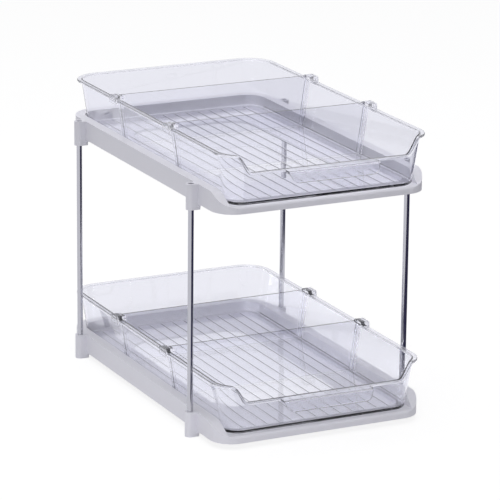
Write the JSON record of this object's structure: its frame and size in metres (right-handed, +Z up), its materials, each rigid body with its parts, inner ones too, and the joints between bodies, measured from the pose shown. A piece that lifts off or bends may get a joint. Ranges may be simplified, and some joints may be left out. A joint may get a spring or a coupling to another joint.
{
  "type": "two-tier organizer",
  "caption": "Free-standing organizer with two white moulded trays on bright steel posts, each with a clear pull-out bin split by lift-out dividers.",
  "frame": {"origin": "middle of the object's footprint, on the surface it stands on", "axes": "+Z up, -Y the front where the bins pull out, +X to the right seen from the front"},
  "size_m": [0.2358, 0.377, 0.2861],
  "materials": {
    "tray_plastic": "satin moulded polypropylene, faintly grey-lavender white",
    "post_steel": "bright chromed steel",
    "bin_plastic": "clear glossy moulded plastic with a faint blue tint",
    "divider_plastic": "clear glossy moulded plastic with a faint blue tint"
  },
  "bodies": {
    "frame": {"lower_tray": "tray_plastic", "upper_tray": "tray_plastic", "rear_left_post": "post_steel", "rear_right_post": "post_steel", "front_left_post": "post_steel", "front_right_post": "post_steel"},
    "lower_bin": {"lower_bin": "bin_plastic"},
    "upper_bin": {"upper_bin": "bin_plastic"},
    "lower_rear_divider": {"lower_rear_divider": "divider_plastic"},
    "lower_front_divider": {"lower_front_divider": "divider_plastic"},
    "upper_rear_divider": {"upper_rear_divider": "divider_plastic"},
    "upper_front_divider": {"upper_front_divider": "divider_plastic"}
  },
  "joints": [
    {"name": "lower_bin_slide", "type": "slide", "parent": "frame", "child": "lower_bin", "axis": [0, -1, 0], "range_m": [0, 0.38]},
    {"name": "upper_bin_slide", "type": "slide", "parent": "frame", "child": "upper_bin", "axis": [0, -1, 0], "range_m": [-0.0036, 0.38]},
    {"name": "lower_rear_divider_lift", "type": "slide", "parent": "lower_bin", "child": "lower_rear_divider", "axis": [0, 0, 1], "range_m": [0, 0.05]},
    {"name": "lower_front_divider_lift", "type": "slide", "parent": "lower_bin", "child": "lower_front_divider", "axis": [0, 0, 1], "range_m": [0, 0.05]},
    {"name": "upper_rear_divider_lift", "type": "slide", "parent": "upper_bin", "child": "upper_rear_divider", "axis": [0, 0, 1], "range_m": [0, 0.05]},
    {"name": "upper_front_divider_lift", "type": "slide", "parent": "upper_bin", "child": "upper_front_divider", "axis": [0, 0, 1], "range_m": [0, 0.05]}
  ]
}
